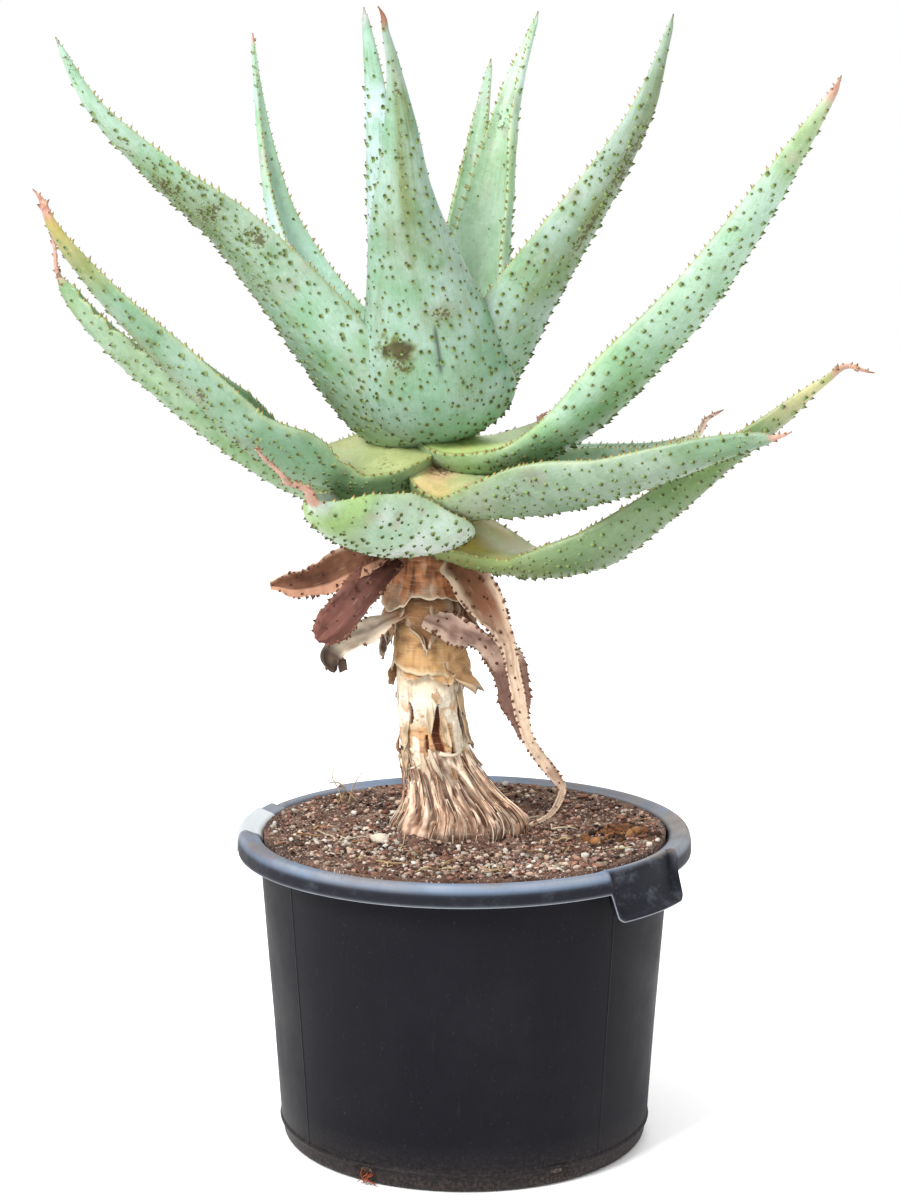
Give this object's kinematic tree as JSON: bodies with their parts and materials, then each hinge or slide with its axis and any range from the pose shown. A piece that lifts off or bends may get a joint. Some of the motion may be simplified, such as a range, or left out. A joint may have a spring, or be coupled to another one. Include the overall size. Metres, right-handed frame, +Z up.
{
  "type": "potted mountain aloe",
  "caption": "Tall mountain aloe with a bare stem and an open rosette of prickly channelled leaves, in a black nursery container filled with soil.",
  "frame": {"origin": "centre of the container's flat base", "axes": "+Z up along the stem; +X to the right and -Y to the front, where the flared foot of the stem points right"},
  "size_m": [0.7205, 0.5526, 1.0376],
  "materials": {
    "container": "matte, dusty",
    "label": "matte",
    "soil": "rough, loose",
    "stem": "torn, fibrous",
    "leaf": "waxy",
    "sheath": "papery",
    "dry_leaf": "papery"
  },
  "bodies": {
    "root": {"pot": "container", "rim_label": "label", "soil": "soil", "trunk": "stem", "leaf_heart": "leaf", "leaf_front": "leaf", "leaf_front_slim": "leaf", "leaf_rear_steep": "leaf", "leaf_back_right": "leaf", "leaf_back": "leaf", "leaf_back_left": "leaf", "leaf_high_right": "leaf", "leaf_high_left": "leaf", "leaf_mid_right": "leaf", "leaf_far_right": "leaf", "leaf_rear": "leaf", "leaf_low_left": "leaf", "leaf_rear_left": "leaf", "leaf_rear_low": "leaf", "leaf_under_left": "leaf", "leaf_low_right": "leaf", "leaf_near_left": "leaf", "leaf_under_right": "leaf", "sheath_upper": "sheath", "sheath_lower": "sheath", "dry_leaf_left": "dry_leaf", "dry_leaf_mauve": "dry_leaf", "dry_scrap": "dry_leaf", "dry_strap": "dry_leaf", "dry_leaf_folded": "dry_leaf"}
  },
  "joints": []
}
